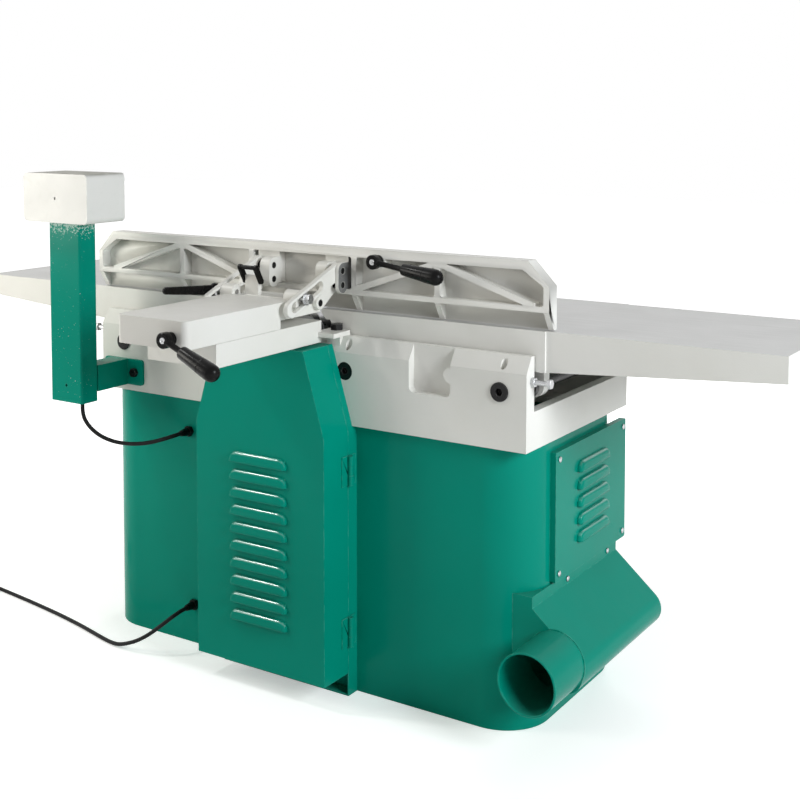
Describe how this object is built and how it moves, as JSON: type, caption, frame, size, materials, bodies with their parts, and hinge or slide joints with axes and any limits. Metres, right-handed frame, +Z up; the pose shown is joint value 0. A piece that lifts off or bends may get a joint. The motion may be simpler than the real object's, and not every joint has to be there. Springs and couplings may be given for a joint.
{
  "type": "surface planer",
  "caption": "Long-bed woodworking surface planer on a rounded cabinet, with lowering tables, a ribbed tilting fence, a belt guard, a switch pedestal and a dust outlet.",
  "frame": {"origin": "on the floor, at the middle of the floor bolts, under the cutterhead", "axes": "+X along the tables towards the infeed end, +Y towards the fence carriage and belt guard, +Z up"},
  "size_m": [2.0854, 1.0936, 1.081],
  "materials": {
    "green_paint": "smooth enamel",
    "cream_paint": "hammered enamel on castings",
    "cream_casting": "painted sides, ground top",
    "cream_plastic": "moulded",
    "grey_casting": "plain casting",
    "bright_steel": "turned",
    "black_steel": "blackened",
    "black_plastic": "moulded",
    "black_rubber": "matt",
    "green_plastic": "moulded",
    "red_plastic": "moulded"
  },
  "bodies": {
    "frame": {"cabinet": "green_paint", "guard_frame": "green_paint", "base_casting": "cream_paint", "end_panel": "green_paint", "panel_screws": "bright_steel", "dust_chute": "green_paint", "front_bearing_block": "grey_casting", "rear_bearing_block": "grey_casting", "motor": "grey_casting", "motor_bracket": "grey_casting", "drive_belts": "black_rubber", "fence_support": "cream_paint", "support_bolts": "black_steel", "switch_arm": "green_paint", "arm_bolts": "bright_steel", "switch_column": "green_paint", "switch_box": "cream_plastic", "cable_gland": "black_plastic", "mains_gland": "black_plastic", "stop_bolts": "bright_steel", "hinge_frame_leaves": "green_paint", "hinge_pins": "bright_steel", "switch_cable": "black_rubber", "mains_cord": "black_rubber", "mains_coil": "black_rubber", "coil_tie": "black_plastic", "mains_plug": "black_plastic"},
    "infeed_crank": {"infeed_inner_shaft": "black_steel"},
    "infeed_outer_crank": {"infeed_outer_shaft": "black_steel"},
    "infeed_table": {"infeed_table": "cream_casting"},
    "infeed_wheel": {"infeed_handwheel": "black_plastic"},
    "infeed_knob": {"infeed_wheel_knob": "black_plastic"},
    "infeed_lock": {"infeed_lock_lever": "black_plastic"},
    "outfeed_crank": {"outfeed_inner_shaft": "black_steel"},
    "outfeed_outer_crank": {"outfeed_outer_shaft": "black_steel"},
    "outfeed_table": {"outfeed_table": "cream_casting"},
    "outfeed_wheel": {"outfeed_handwheel": "black_plastic"},
    "outfeed_knob": {"outfeed_wheel_knob": "black_plastic"},
    "outfeed_lock": {"outfeed_lock_lever": "black_plastic"},
    "cutterhead": {"cutterhead": "bright_steel", "cutter_knives": "bright_steel", "cutterhead_pulley": "grey_casting"},
    "motor_pulley": {"motor_pulley": "grey_casting"},
    "carriage": {"fence_carriage": "cream_paint", "clamp_bolts": "bright_steel"},
    "slide_lock": {"slide_lock_lever": "black_plastic"},
    "tilt_lock": {"tilt_lock_lever": "black_plastic"},
    "flip_stop": {"flip_stop": "black_plastic"},
    "lower_link": {"lower_links": "cream_paint", "link_pins": "bright_steel"},
    "fence": {"fence": "cream_paint", "fence_brackets": "cream_paint", "bracket_pins": "bright_steel"},
    "upper_link": {"upper_links": "cream_paint"},
    "fence_lever": {"fence_lever": "black_plastic"},
    "belt_guard": {"belt_guard": "green_paint", "hinge_door_leaves": "green_paint"},
    "start_button": {"start_button": "green_plastic"},
    "stop_button": {"stop_button": "red_plastic"}
  },
  "joints": [
    {"name": "infeed_lift", "type": "hinge", "parent": "frame", "child": "infeed_crank", "pos_m": [0.133, 0, 0.681], "axis": [0, 1, 0], "range_deg": [0, 30.93]},
    {"name": "infeed_outer_turn", "type": "hinge", "parent": "frame", "child": "infeed_outer_crank", "pos_m": [0.497, 0, 0.681], "axis": [0, 1, 0], "range_deg": [0, 30.93]},
    {"name": "infeed_level", "type": "hinge", "parent": "infeed_crank", "child": "infeed_table", "pos_m": [0.16191, 0, 0.689], "axis": [0, 1, 0], "range_deg": [-30.93, 0]},
    {"name": "infeed_wheel_turn", "type": "hinge", "parent": "frame", "child": "infeed_wheel", "pos_m": [0.32, -0.291, 0.645], "axis": [0, 1, 0], "range_deg": [0, 927.97]},
    {"name": "infeed_knob_spin", "type": "hinge", "parent": "infeed_wheel", "child": "infeed_knob", "pos_m": [0.32, -0.32, 0.711], "axis": [0, 1, 0], "continuous": true},
    {"name": "infeed_lock_turn", "type": "hinge", "parent": "frame", "child": "infeed_lock", "pos_m": [0.215, -0.258, 0.687], "axis": [0, 1, 0], "range_deg": [0, 60]},
    {"name": "outfeed_lift", "type": "hinge", "parent": "frame", "child": "outfeed_crank", "pos_m": [-0.133, 0, 0.681], "axis": [0, -1, 0], "range_deg": [-3, 12]},
    {"name": "outfeed_outer_turn", "type": "hinge", "parent": "frame", "child": "outfeed_outer_crank", "pos_m": [-0.497, 0, 0.681], "axis": [0, -1, 0], "range_deg": [-3, 12]},
    {"name": "outfeed_level", "type": "hinge", "parent": "outfeed_crank", "child": "outfeed_table", "pos_m": [-0.16289, 0, 0.68361], "axis": [0, -1, 0], "range_deg": [-12, 3]},
    {"name": "outfeed_wheel_turn", "type": "hinge", "parent": "frame", "child": "outfeed_wheel", "pos_m": [-0.32, -0.291, 0.645], "axis": [0, -1, 0], "range_deg": [-90.01, 360.01]},
    {"name": "outfeed_knob_spin", "type": "hinge", "parent": "outfeed_wheel", "child": "outfeed_knob", "pos_m": [-0.32, -0.32, 0.711], "axis": [0, 1, 0], "continuous": true},
    {"name": "outfeed_lock_turn", "type": "hinge", "parent": "frame", "child": "outfeed_lock", "pos_m": [-0.215, -0.258, 0.687], "axis": [0, -1, 0], "range_deg": [0, 60]},
    {"name": "cutterhead_spin", "type": "hinge", "parent": "frame", "child": "cutterhead", "pos_m": [0, 0, 0.75], "axis": [0, 1, 0], "continuous": true},
    {"name": "motor_spin", "type": "hinge", "parent": "frame", "child": "motor_pulley", "pos_m": [0, 0.315, 0.16], "axis": [0, 1, 0], "continuous": true},
    {"name": "fence_slide", "type": "slide", "parent": "frame", "child": "carriage", "axis": [0, -1, 0], "range_m": [0, 0.17]},
    {"name": "slide_lock_turn", "type": "hinge", "parent": "carriage", "child": "slide_lock", "pos_m": [-0.053, 0.693, 0.806], "axis": [0, 1, 0], "range_deg": [0, 60]},
    {"name": "tilt_lock_turn", "type": "hinge", "parent": "carriage", "child": "tilt_lock", "pos_m": [0.128, 0.349, 0.843], "axis": [1, 0, 0], "range_deg": [0, 60]},
    {"name": "flip_stop_turn", "type": "hinge", "parent": "carriage", "child": "flip_stop", "pos_m": [0.034, 0.336, 0.868], "axis": [1, 0, 0], "range_deg": [0, 75]},
    {"name": "lower_link_turn", "type": "hinge", "parent": "carriage", "child": "lower_link", "pos_m": [0, 0.281, 0.825], "axis": [-1, 0, 0], "range_deg": [-19.85, 0]},
    {"name": "fence_tilt", "type": "hinge", "parent": "lower_link", "child": "fence", "pos_m": [0, 0.231, 0.858], "axis": [-1, 0, 0], "range_deg": [0, 64.8]},
    {"name": "upper_link_turn", "type": "hinge", "parent": "fence", "child": "upper_link", "pos_m": [0, 0.231, 0.888], "axis": [-1, 0, 0], "range_deg": [-55.35, 0]},
    {"name": "fence_lever_turn", "type": "hinge", "parent": "fence", "child": "fence_lever", "pos_m": [-0.199, 0.217, 0.912], "axis": [0, 1, 0], "range_deg": [-45, 30]},
    {"name": "belt_guard_swing", "type": "hinge", "parent": "frame", "child": "belt_guard", "pos_m": [-0.1621, 0.2644, 0.31], "axis": [0, 0, 1], "range_deg": [0, 100]},
    {"name": "start_press", "type": "slide", "parent": "frame", "child": "start_button", "axis": [0, 1, 0], "range_m": [0, 0.004], "stiffness_N_per_m": 400},
    {"name": "stop_press", "type": "slide", "parent": "frame", "child": "stop_button", "axis": [0, 1, 0], "range_m": [0, 0.004], "stiffness_N_per_m": 400}
  ],
  "couplings": [
    {"joint": "infeed_outer_turn", "follows": "infeed_lift", "ratio": 1},
    {"joint": "infeed_level", "follows": "infeed_lift", "ratio": -1},
    {"joint": "infeed_wheel_turn", "follows": "infeed_lift", "ratio": 30},
    {"joint": "outfeed_outer_turn", "follows": "outfeed_lift", "ratio": 1},
    {"joint": "outfeed_level", "follows": "outfeed_lift", "ratio": -1},
    {"joint": "outfeed_wheel_turn", "follows": "outfeed_lift", "ratio": 30},
    {"joint": "motor_spin", "follows": "cutterhead_spin", "ratio": 0.37},
    {"joint": "lower_link_turn", "follows": "fence_tilt", "ratio": -0.30556},
    {"joint": "upper_link_turn", "follows": "fence_tilt", "ratio": -0.85347}
  ]
}
